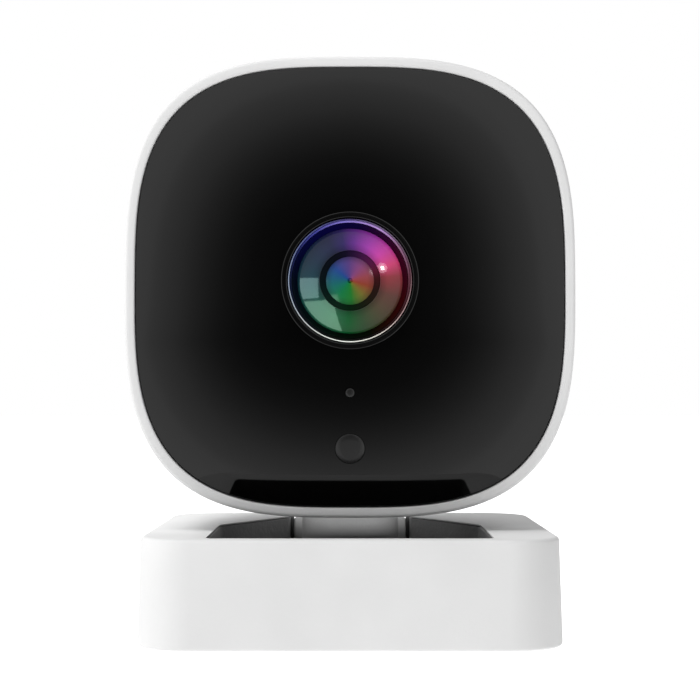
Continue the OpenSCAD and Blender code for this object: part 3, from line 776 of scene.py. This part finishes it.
LAMP_DISTANCE = 0.3
LENS_LAMPS = [                    # name, direction from the lens, size, radiance, colour
    ("pane_low", (-0.53, -0.80, -0.595), (0.175, 0.185), 9.5, (0.55, 1.0, 0.72)),
    ("pane_left", (-0.735, -0.80, -0.05), (0.115, 0.10), 8.5, (0.6, 1.0, 0.95)),
    ("spark", (0.54, -0.829, 0.29), (0.016, 0.016), 120.0, (1.0, 0.96, 0.97)),
    ("spark_glow", (0.54, -0.829, 0.29), (0.05, 0.05), 9.0, (1.0, 0.8, 0.9))]


def light_lens(*pieces):
    """Lamps that only these pieces see: two panes on the left and a small spark on the right."""
    lens_lit = bpy.data.collections.new("lens_lit")
    for piece in pieces:
        lens_lit.objects.link(piece)
    nothing = bpy.data.collections.new("lens_blockers")
    for name, aim, size, radiance, colour in LENS_LAMPS:
        place = LENS + Vector(aim).normalized() * LAMP_DISTANCE
        power = radiance * math.pi * size[0] * size[1]
        lamp = area_light(name, place, LENS, size, power, colour)
        lamp.light_linking.receiver_collection = lens_lit
        lamp.light_linking.blocker_collection = nothing


def make_status_light_and_window():
    """A small smoked lens and the larger round window under it, flush with the panel."""
    for node, name, r in (("status_light_pipe", "status_light_lens", STATUS_R),
                          ("light_sensor_window", "light_sensor_disc", WINDOW_R)):
        centre = middle(node)
        share = abs(centre.z - HEAD.z) / PANEL_HH
        front = RIM_Y - BULGE * (1 - share ** PANEL_POWER)
        slope = BULGE * PANEL_POWER / PANEL_HH * share ** (PANEL_POWER - 1)
        back = span(node, 1)[1]
        piece = turned(name, centre, [
            (r, back), (r, front + 0.05 * MM), (r - 0.06 * MM, front),
            (r * 0.6, front - 0.03 * MM), (r * 0.2, front - 0.045 * MM)], 72, 50)
        for vertex in piece.data.vertices:          # the front follows the panel's slope
            if vertex.co.y < front + 0.1 * MM:
                vertex.co.y += slope * (centre.z - vertex.co.z)
        finish_piece(piece, "head", "smoked_window", SMOKED, node)


make_head_shell()
make_rear_cover()
make_front_panel()
make_trim_ring()
make_bezel()
lens_barrel = make_barrel()
lens_dome, dome_edge_y = make_dome_and_iris()
light_lens(lens_barrel, lens_dome, make_inner_element(dome_edge_y))
make_status_light_and_window()


# ---- base ----------------------------------------------------------------------------------
HALF_W, HALF_D = half_size("base_housing", 0), half_size("base_housing", 1)
CORNER_R = 7 * MM
DRAFT = 0.4 * MM


def base_ring(z, inset):
    """The base's plan at a height, a little smaller towards the top."""
    up = (z - BASE_LO.z) / (BASE_HI.z - BASE_LO.z)
    inset += DRAFT * up
    return rounded_plan(HALF_W - inset, HALF_D - inset, CORNER_R - inset, z)


def recess_points(grow):
    """The plan of the recess, with rounded corners, wide in front and narrow behind."""
    lo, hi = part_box("recess_liner")
    wall = 1.0 * MM - grow
    wide, front, back = hi[0] - wall, lo[1] + wall, HALF_D + 3 * MM
    narrow = half_size("hinge_washers", 0) + 0.05 * MM + grow
    taper_start, taper_end = 0.0, HALF_D - 8 * MM
    tight, soft, inward = 0.9 * MM, 3 * MM, 2 * MM          # corner radii
    corners = [((-wide, front), tight), ((wide, front), tight), ((wide, taper_start), soft),
               ((narrow, taper_end), inward), ((narrow, back), 0), ((-narrow, back), 0),
               ((-narrow, taper_end), inward), ((-wide, taper_start), soft)]
    return round_corners(corners)


def round_corners(corners, steps=6):
    """Fillets each corner of an outline with an arc of its own radius."""
    points = []
    for i, (here, radius) in enumerate(corners):
        p = Vector(here)
        a = (Vector(corners[i - 1][0]) - p).normalized()
        b = (Vector(corners[(i + 1) % len(corners)][0]) - p).normalized()
        if not radius:
            points.append(p)
            continue
        half = a.angle(b) / 2
        start, stop = p + a * radius / math.tan(half), p + b * radius / math.tan(half)
        centre = p + (a + b).normalized() * radius / math.sin(half)
        for k in range(steps + 1):
            t = k / steps
            spoke = (start - centre).lerp(stop - centre, t).normalized()
            points.append(centre + spoke * radius)
    return points


def prism(name, points, z0, z1, sharp=30):
    """An upright bar with the given plan."""
    return loft(name, [[Vector((p.x, p.y, z)) for p in points] for z in (z0, z1)], sharp)


def make_base_housing():
    """A rounded block, hollow from below for the cover and cut from above for the recess."""
    top_round, foot_round = 0.5 * MM, 0.4 * MM
    rings = [base_ring(BASE_LO.z, 0.9 * CORNER_R)]
    for r, z in arc(foot_round, BASE_LO.z + foot_round, foot_round, 270, 180, 6):
        rings.append(base_ring(z, r))
    for r, z in arc(top_round, BASE_HI.z - top_round, top_round, 180, 90, 8):
        rings.append(base_ring(z, r))
    housing = loft("base_housing_moulding", rings, 40)
    floor_z, skin_z = span("recess_liner", 2)
    wall = 1.85 * MM
    hollow = rounded_plan(HALF_W - wall, HALF_D - wall, CORNER_R - wall, 0)
    cut(housing, prism("cavity_cutter", hollow, BASE_LO.z - MM, floor_z), sharp=40)
    cut(housing, prism("recess_cutter", recess_points(1.0 * MM), floor_z, skin_z + 0.02 * MM),
        prism("opening_cutter", recess_points(0.08 * MM), floor_z, BASE_HI.z + 5 * MM), sharp=40)
    bevel(housing, 0.06 * MM)
    finish_piece(housing, "base", "white_plastic", WHITE, "base_housing")


def make_recess_liner():
    """A tray that lines the recess, open at the back for the folding neck."""
    lo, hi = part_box("recess_liner")
    outer = prism("recess_liner_moulding", recess_points(0.97 * MM), lo[2], hi[2])
    floor_t = 1.0 * MM
    inner = prism("liner_cutter", recess_points(0), lo[2] + floor_t, hi[2] + 5 * MM)
    behind = box_object("behind_cutter", (-HALF_W, hi[1], 0), (HALF_W, hi[1] + 20 * MM, 30 * MM))
    cut(outer, inner, behind)
    bevel(outer, 0.2 * MM)
    finish_piece(outer, "base", "recess_grey", RECESS, "recess_liner")


# ---- neck ----------------------------------------------------------------------------------
def make_swivel_post():
    """The post with a turned groove where it meets the arm and a soft shoulder at the top."""
    lo, hi = span("swivel_post", 2)
    shoulder = span("post_friction_washer", 2)[0]
    cap_overhang = 1.62 * MM
    spigot_r = half_size("retaining_cap", 0) - cap_overhang
    r, soft = POST_R, 0.35 * MM
    bore, groove = 1.25 * MM, 0.12 * MM
    profile = [(bore, lo + 5 * MM), (bore, lo), (r - 0.3 * MM, lo), (r - groove, lo + groove),
               (r - groove, lo + 0.4 * MM), (r, lo + 0.52 * MM), (r, shoulder - soft)]
    profile += [(r - soft + soft * math.cos(a), shoulder - soft + soft * math.sin(a))
                for a in [math.radians(18 * i) for i in range(1, 5)]]
    profile += [(r - soft, shoulder), (spigot_r, shoulder), (spigot_r, hi - 0.3 * MM),
                (spigot_r - 0.3 * MM, hi), (bore, hi)]
    post = upright_turned("swivel_post_moulding", POST, profile, 96, 35)
    finish_piece(post, "neck", "neck_grey", NECK, "swivel_post")
    return post


def half_turn(start, steps=24):
    """The angles of half a turn from a start in degrees."""
    return [math.radians(start + 180 * i / steps) for i in range(steps + 1)]


def soft_ends(low, high, edge, edge_mid):
    """Places from low to high, each with how far the outline steps in there."""
    return ((low, edge), (low + edge_mid, edge_mid), (low + edge, 0),
            (high - edge, 0), (high - edge_mid, edge_mid), (high, edge))


def make_neck_arm():
    """A flat arm, round at the post, with a hinge knuckle across its back end."""
    z0, z1 = span("neck_arm", 2)[0], span("swivel_post", 2)[0]
    pin = middle("hinge_pin")
    half = half_size("neck_arm", 0)
    r = span("neck_arm", 1)[1] - pin.y
    edge, edge_mid = 0.3 * MM, 0.1 * MM      # a soft edge, in two steps
    head_r, shank_r, head_deep = 2.3 * MM, 1.35 * MM, 1.2 * MM
    pin_hole_r = 1.3 * MM
    plan = [(POST_R, pin.y), (-POST_R, pin.y)]
    plan += [(POST_R * math.cos(a), POST.y + POST_R * math.sin(a)) for a in half_turn(180)]
    rings = []
    for z, inset in soft_ends(z0, z1, edge, edge_mid):
        scale = (POST_R - inset) / POST_R
        rings.append([Vector((x * scale, POST.y + (y - POST.y) * (scale if y < POST.y else 1), z))
                      for x, y in plan])
    arm = loft("neck_arm_moulding", rings, 40)
    hole = upright_turned("screw_hole", POST, [
        (head_r, z0 - MM), (head_r, z0 + head_deep),
        (shank_r, z0 + head_deep), (shank_r, z1 + MM)], 48)
    cut(arm, hole, sharp=40)
    sides = []
    for x, inset in soft_ends(-half, half, edge, edge_mid):
        ring = [Vector((x, pin.y + (r - inset) * math.sin(a), pin.z + (r - inset) * math.cos(a)))
                for a in half_turn(-90)]
        ring += [Vector((x, pin.y + r - inset, z0 + inset)), Vector((x, pin.y - r + inset, z0 + inset))]
        sides.append(ring)
    knuckle = loft("knuckle", sides, 40)
    full_turn = half_turn(0)[:-1] + half_turn(180)[:-1]
    bore = [[Vector((x, pin.y + pin_hole_r * math.sin(a), pin.z + pin_hole_r * math.cos(a)))
             for a in full_turn] for x in (-2 * half, 2 * half)]
    cut(knuckle, loft("pin_hole", bore), sharp=40)
    arm = merged("neck_arm_moulding", arm, knuckle, sharp=40)
    finish_piece(arm, "neck", "neck_grey", NECK, "neck_arm")
    return arm


def cross_screw(name, place, head_r, head_t, shank_r, shank_len):
    """A pan head screw along Z with a cross recess in its head, which faces down."""
    soft = 0.3 * MM
    profile = [(shank_r * 0.5, -shank_len), (shank_r, -shank_len + 0.4 * MM), (shank_r, 0), (head_r, 0),
               (head_r, head_t - soft), (head_r - soft * 0.3, head_t - soft * 0.3),
               (head_r - soft, head_t)]
    screw = upright_turned(name, place, [(r, place.z - z) for r, z in profile], 48, 35)
    deep, arm_len, arm_half = head_t * 0.6, head_r * 0.6, head_r * 0.14
    low, high = place.z - (head_t + MM), place.z - (head_t - deep)
    bars = []
    for wide, tall in ((arm_len, arm_half), (arm_half, arm_len)):
        bars.append(box_object("slot", (place.x - wide, place.y - tall, low),
                               (place.x + wide, place.y + tall, high)))
    cut(screw, *bars, sharp=35)
    return screw


def make_base_screws():
    lo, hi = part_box("base_screws")
    head_r, head_t, shank_r = 1.9 * MM, 0.9 * MM, 1.0 * MM
    shank_len = hi[2] - lo[2] - head_t
    screws = [cross_screw("base_screw", Vector((x, y, lo[2] + head_t)), head_r, head_t, shank_r, shank_len)
              for x in (lo[0] + head_r, hi[0] - head_r) for y in (lo[1] + head_r, hi[1] - head_r)]
    finish_piece(merged("base_screw_set", *screws), "base", "steel", STEEL, "base_screws")


def make_foot_pad():
    """A rubber ring with raised ridges round it."""
    lo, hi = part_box("foot_pad")
    outer, inner = hi[0], 11 * MM
    profile = [(inner, hi[2]), (inner, lo[2] + 0.15 * MM), (inner + 0.15 * MM, lo[2])]
    ridges = 5
    step = (outer - inner - 0.6 * MM) / ridges
    for i in range(ridges):
        r = inner + 0.3 * MM + i * step
        profile += [(r + step * 0.35, lo[2]), (r + step * 0.45, lo[2] + 0.2 * MM),
                    (r + step * 0.6, lo[2] + 0.2 * MM), (r + step * 0.7, lo[2])]
    profile += [(outer - 0.15 * MM, lo[2]), (outer, lo[2] + 0.15 * MM), (outer, hi[2])]
    pad = upright_turned("foot_pad_ring", Vector((0, 0, 0)), profile, 128, 40, closed=True)
    finish_piece(pad, "base", "rubber_grey", RUBBER, "foot_pad")


def make_tripod_bush():
    """A flanged brass bush with thread ridges in its bore."""
    lo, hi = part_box("tripod_bush")
    flange_z = span("bottom_cover", 2)[1]
    flange_top = flange_z + 0.8 * MM
    body_r, bore_r, pitch = hi[0] - 1.2 * MM, 3.17 * MM, 1.27 * MM
    ridge, mouth = 0.45 * MM, 0.35 * MM
    profile = [(body_r, lo[2]), (body_r, flange_z), (hi[0], flange_z), (hi[0], flange_top),
               (body_r, flange_top), (body_r, hi[2]), (bore_r, hi[2])]
    z = hi[2] - 0.1 * MM
    while z - pitch > lo[2] + 0.4 * MM:
        profile += [(bore_r, z), (bore_r - ridge, z - pitch / 2), (bore_r, z - pitch)]
        z -= pitch
    profile += [(bore_r, lo[2] + mouth), (bore_r + mouth, lo[2])]
    bush = upright_turned("tripod_thread", Vector((0, 0, 0)), profile, 72, 35, closed=True)
    finish_piece(bush, "base", "brass", BRASS, "tripod_bush")


# ---- ports and button ----------------------------------------------------------------------
def make_usb_socket():
    """A steel shell with a deep mouth and a black tongue in it."""
    usb = middle("usb_socket")
    back, mouth_y = span("usb_socket", 1)
    wide, tall = half_size("usb_socket", 0), half_size("usb_socket", 2)
    shell_t, mouth_deep = 0.3 * MM, 6 * MM
    shell = rounded_slot("usb_shell", usb, wide, tall, tall * 0.96, back, mouth_y)
    mouth = rounded_slot("mouth", usb, wide - shell_t, tall - shell_t, tall * 0.78,
                         mouth_y - mouth_deep, mouth_y + MM)
    cut(shell, mouth, sharp=40)
    finish_piece(shell, "head", "steel", STEEL, "usb_socket")
    tongue = rounded_slot("usb_tongue", usb, wide - 1.3 * MM, 0.35 * MM, 0.2 * MM,
                          mouth_y - mouth_deep - 0.2 * MM, mouth_y - 0.8 * MM)
    finish_piece(tongue, "head", "black_plastic", BLACK)


def make_setup_button():
    """A cap with a dished face, and behind the cover a flange and a stem."""
    button = middle("setup_button")
    stem_end, face = span("setup_button", 1)
    inside = span("speaker_gasket", 1)[1]
    flange_back, flange_front = inside - 0.9 * MM, inside - 0.1 * MM
    stem_r, flange_r, r, soft = 1.0 * MM, 2.6 * MM, 2.0 * MM, 0.3 * MM
    profile = [(stem_r, stem_end), (stem_r, flange_back), (flange_r, flange_back),
               (flange_r, flange_front), (r, flange_front), (r, face - soft)]
    profile += arc(r - soft, face - soft, soft, 0, 90, 5)[1:]
    profile += [(r * 0.6, face - 0.06 * MM), (r * 0.25, face - 0.12 * MM)]
    cap = turned("setup_button_cap", button, profile, 64, 40)
    finish_piece(cap, "button", "white_plastic", WHITE, "setup_button")


def light_neck(*pieces):
    """A faint lamp from the front that only the post and the arm see."""
    fill = area_light("neck_fill", (0, -0.12, 0.016), (0, POST.y, 0.012), (0.06, 0.01), 0.1)
    fill.visible_glossy = False
    neck_lit = bpy.data.collections.new("neck_lit")
    for piece in pieces:
        neck_lit.objects.link(piece)
    fill.light_linking.receiver_collection = neck_lit


make_base_housing()
make_recess_liner()
make_base_screws()
make_foot_pad()
make_tripod_bush()
make_usb_socket()
make_setup_button()
neck_arm = make_neck_arm()
light_neck(make_swivel_post(), neck_arm)


# ---- CAD nodes that keep their own shape ---------------------------------------------------
NODE_MATERIALS = {
    "bottom_cover": COVER, "base_magnet": NICKEL, "ballast_bars": STEEL,
    "hinge_pin": STEEL, "hinge_washers": SOFT_BLACK, "post_screw": STEEL,
    "post_friction_washer": NYLON, "spring_washer": STEEL, "retaining_cap": BLACK,
    "inner_frame": BLACK, "swivel_bracket": STEEL, "bracket_screws": STEEL,
    "lens_holder": BLACK, "rear_lens": FILTER, "ir_cut_filter": FILTER,
    "image_sensor": BLACK, "sensor_board": BOARD, "led_board": BOARD,
    "infrared_leds": BLACK, "light_sensor": NYLON, "ribbon_sockets": NYLON,
    "sensor_ribbon": FILM, "heat_sink": ALUMINIUM, "main_board": BOARD,
    "main_chips": BLACK, "shield_can": STEEL, "board_screws": STEEL, "card_socket": STEEL,
    "speaker": BLACK, "speaker_gasket": SOFT_BLACK, "microphone": STEEL,
    "microphone_boot": SOFT_BLACK, "antenna": FILM, "button_switch": BLACK}
for node, mat in NODE_MATERIALS.items():
    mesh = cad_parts[node].data
    mesh.materials.clear()
    mesh.materials.append(mat)
